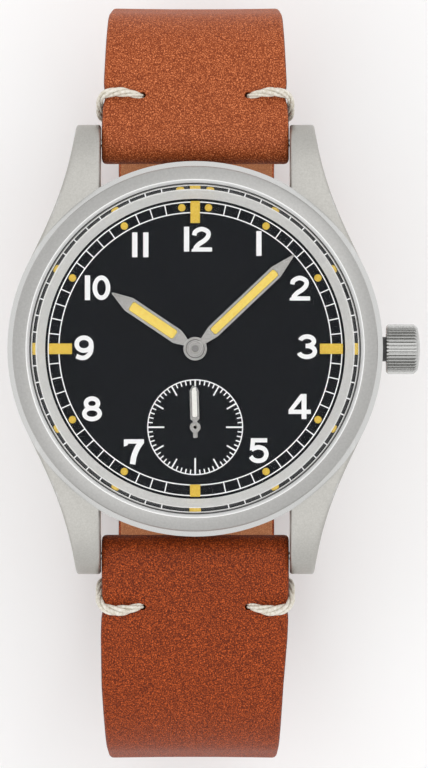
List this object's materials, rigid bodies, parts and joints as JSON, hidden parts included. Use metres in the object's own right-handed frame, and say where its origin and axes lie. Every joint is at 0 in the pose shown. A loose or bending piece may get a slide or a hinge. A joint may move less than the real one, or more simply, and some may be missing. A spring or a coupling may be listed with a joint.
{
  "type": "wristwatch",
  "caption": "Round steel field watch with small seconds, luminous hands and a knurled crown, buckled on a tan leather strap.",
  "frame": {"origin": "centre of the flat outer face of the case back", "axes": "+Z out of the dial, +Y towards 12 o'clock, +X towards the crown at 3 o'clock"},
  "size_m": [0.0402, 0.0754, 0.0517],
  "materials": {
    "case_steel": "satin stainless steel",
    "polished_steel": "polished stainless steel",
    "mineral_glass": "clear mineral glass",
    "black_gasket": "black rubber",
    "gasket_nylon": "black nylon",
    "rehaut_silver": "satin silver ring",
    "dial_black": "satin black lacquer on brass",
    "hand_steel": "satin silver with pale yellow luminous fill",
    "train_brass": "gilt brass",
    "plate_brass": "nickel plated brass",
    "movement_steel": "ground hardened steel",
    "spring_steel": "spring steel",
    "ruby": "synthetic ruby",
    "tan_leather": "tan grained leather with dark edges",
    "cream_thread": "waxed cream thread"
  },
  "bodies": {
    "case": {"mid_case": "case_steel", "bezel": "case_steel", "crystal": "mineral_glass", "crystal_gasket": "gasket_nylon", "rehaut_ring": "rehaut_silver", "case_back": "case_steel", "case_back_gasket": "black_gasket", "crown_tube": "polished_steel", "movement_ring": "plate_brass", "dial": "dial_black", "mainplate": "plate_brass", "barrel_bridge": "plate_brass", "train_bridge": "plate_brass", "balance_cock": "plate_brass", "pallet_bridge": "plate_brass", "movement_screws": "movement_steel", "jewels": "ruby", "click_spring": "spring_steel", "hairspring": "spring_steel", "spring_bar_springs": "spring_steel", "strap_12_side": "tan_leather", "strap_6_side": "tan_leather", "strap_stitches": "cream_thread", "strap_bars": "polished_steel", "buckle_frame": "case_steel", "fixed_keeper": "tan_leather"},
    "crown_slide": {"crown_gasket": "black_gasket"},
    "crown": {"crown": "polished_steel", "stem": "movement_steel"},
    "winding_pinion": {"winding_pinion": "movement_steel"},
    "yoke": {"yoke": "movement_steel"},
    "clutch": {"clutch": "movement_steel"},
    "setting_lever": {"setting_lever": "movement_steel"},
    "crown_wheel": {"crown_wheel": "movement_steel"},
    "ratchet": {"ratchet_wheel_and_screw": "movement_steel", "barrel_arbor": "movement_steel"},
    "click": {"click": "movement_steel"},
    "barrel": {"barrel_drum": "train_brass", "barrel_cover": "train_brass", "mainspring": "spring_steel"},
    "centre_wheel": {"centre_wheel": "train_brass"},
    "third_wheel": {"third_wheel": "train_brass"},
    "seconds": {"fourth_wheel": "train_brass", "seconds_hand": "hand_steel"},
    "escape_wheel": {"escape_wheel": "movement_steel"},
    "pallet_fork": {"pallet_fork": "movement_steel"},
    "balance": {"balance_wheel": "train_brass"},
    "minute": {"cannon_pinion": "movement_steel", "minute_hand": "hand_steel"},
    "minute_wheel": {"minute_wheel": "train_brass"},
    "hour": {"hour_wheel": "train_brass", "hour_hand": "hand_steel"},
    "setting_wheel": {"setting_wheel": "movement_steel"},
    "tongue": {"buckle_tongue": "case_steel"},
    "free_keeper": {"free_keeper": "tan_leather"},
    "bar_pin_12_left": {"bar_pin_12_left": "polished_steel"},
    "bar_pin_12_right": {"bar_pin_12_right": "polished_steel"},
    "bar_pin_6_left": {"bar_pin_6_left": "polished_steel"},
    "bar_pin_6_right": {"bar_pin_6_right": "polished_steel"}
  },
  "joints": [
    {"name": "crown_pull", "type": "slide", "parent": "case", "child": "crown_slide", "axis": [1, 0, 0], "range_m": [0, 0.001]},
    {"name": "crown_turn", "type": "hinge", "parent": "crown_slide", "child": "crown", "pos_m": [0, 0, 0.0037], "axis": [1, 0, 0], "continuous": true},
    {"name": "winding_pinion_turn", "type": "hinge", "parent": "case", "child": "winding_pinion", "pos_m": [0, 0, 0.0037], "axis": [1, 0, 0], "continuous": true},
    {"name": "yoke_shift", "type": "slide", "parent": "case", "child": "yoke", "axis": [1, 0, 0], "range_m": [-0.0006, 0]},
    {"name": "clutch_turn", "type": "hinge", "parent": "yoke", "child": "clutch", "pos_m": [0, 0, 0.0037], "axis": [1, 0, 0], "continuous": true},
    {"name": "setting_lever_swing", "type": "hinge", "parent": "case", "child": "setting_lever", "pos_m": [0.01043, -0.0032, 0.004], "axis": [0, 0, 1], "range_deg": [-18, 0]},
    {"name": "crown_wheel_turn", "type": "hinge", "parent": "case", "child": "crown_wheel", "pos_m": [0.0066, 0, 0.004], "axis": [0, 0, 1], "continuous": true},
    {"name": "ratchet_turn", "type": "hinge", "parent": "case", "child": "ratchet", "pos_m": [0.00219, 0.006, 0.004], "axis": [0, 0, 1], "continuous": true},
    {"name": "click_lift", "type": "hinge", "parent": "case", "child": "click", "pos_m": [-0.00411, 0.00371, 0.004], "axis": [0, 0, 1], "range_deg": [0, 4]},
    {"name": "minute_turn", "type": "hinge", "parent": "case", "child": "minute", "pos_m": [0, 0, 0.004], "axis": [0, 0, -1], "continuous": true},
    {"name": "minute_wheel_turn", "type": "hinge", "parent": "case", "child": "minute_wheel", "pos_m": [0.0026, 0.0015, 0.004], "axis": [0, 0, -1], "continuous": true},
    {"name": "hour_turn", "type": "hinge", "parent": "case", "child": "hour", "pos_m": [0, 0, 0.004], "axis": [0, 0, -1], "continuous": true},
    {"name": "setting_wheel_turn", "type": "hinge", "parent": "case", "child": "setting_wheel", "pos_m": [0.0055, 0.00034, 0.004], "axis": [0, 0, -1], "continuous": true},
    {"name": "seconds_turn", "type": "hinge", "parent": "case", "child": "seconds", "pos_m": [0, -0.00758, 0.004], "axis": [0, 0, -1], "continuous": true},
    {"name": "third_turn", "type": "hinge", "parent": "case", "child": "third_wheel", "pos_m": [0.00236, -0.00404, 0.004], "axis": [0, 0, -1], "continuous": true},
    {"name": "centre_turn", "type": "hinge", "parent": "case", "child": "centre_wheel", "pos_m": [0, 0, 0.004], "axis": [0, 0, -1], "continuous": true},
    {"name": "barrel_turn", "type": "hinge", "parent": "case", "child": "barrel", "pos_m": [0.00219, 0.006, 0.004], "axis": [0, 0, -1], "continuous": true},
    {"name": "escape_turn", "type": "hinge", "parent": "case", "child": "escape_wheel", "pos_m": [-0.00333, -0.00566, 0.004], "axis": [0, 0, -1], "continuous": true},
    {"name": "pallet_rock", "type": "hinge", "parent": "case", "child": "pallet_fork", "pos_m": [-0.00496, -0.00403, 0.004], "axis": [0, 0, 1], "range_deg": [-5, 5]},
    {"name": "balance_swing", "type": "hinge", "parent": "case", "child": "balance", "pos_m": [-0.00736, -0.00162, 0.004], "axis": [0, 0, 1], "range_deg": [-270, 270]},
    {"name": "tongue_swing", "type": "hinge", "parent": "case", "child": "tongue", "pos_m": [0, -0.005, -0.03595], "axis": [1, 0, 0], "range_deg": [0, 2]},
    {"name": "free_keeper_slide", "type": "slide", "parent": "case", "child": "free_keeper", "axis": [0, 1, 0], "range_m": [-0.0026, 0.0042]},
    {"name": "bar_pin_12_left_press", "type": "slide", "parent": "case", "child": "bar_pin_12_left", "axis": [1, 0, 0], "range_m": [0, 0.00125]},
    {"name": "bar_pin_12_right_press", "type": "slide", "parent": "case", "child": "bar_pin_12_right", "axis": [-1, 0, 0], "range_m": [0, 0.00125]},
    {"name": "bar_pin_6_left_press", "type": "slide", "parent": "case", "child": "bar_pin_6_left", "axis": [1, 0, 0], "range_m": [0, 0.00125]},
    {"name": "bar_pin_6_right_press", "type": "slide", "parent": "case", "child": "bar_pin_6_right", "axis": [-1, 0, 0], "range_m": [0, 0.00125]}
  ],
  "couplings": [
    {"joint": "winding_pinion_turn", "follows": "crown_turn", "ratio": 1},
    {"joint": "clutch_turn", "follows": "crown_turn", "ratio": 1},
    {"joint": "crown_wheel_turn", "follows": "crown_turn", "ratio": 0.68182},
    {"joint": "ratchet_turn", "follows": "crown_turn", "ratio": -0.35714},
    {"joint": "yoke_shift", "follows": "crown_pull", "ratio": -0.6},
    {"joint": "setting_lever_swing", "follows": "crown_pull", "rad_per_m": -312.5},
    {"joint": "minute_wheel_turn", "follows": "minute_turn", "ratio": -0.33333},
    {"joint": "hour_turn", "follows": "minute_turn", "ratio": 0.083333},
    {"joint": "setting_wheel_turn", "follows": "minute_turn", "ratio": 0.85714},
    {"joint": "third_turn", "follows": "seconds_turn", "ratio": -0.13333},
    {"joint": "centre_turn", "follows": "seconds_turn", "ratio": 0.016667},
    {"joint": "barrel_turn", "follows": "seconds_turn", "ratio": -0.0020833},
    {"joint": "escape_turn", "follows": "seconds_turn", "ratio": -10}
  ]
}
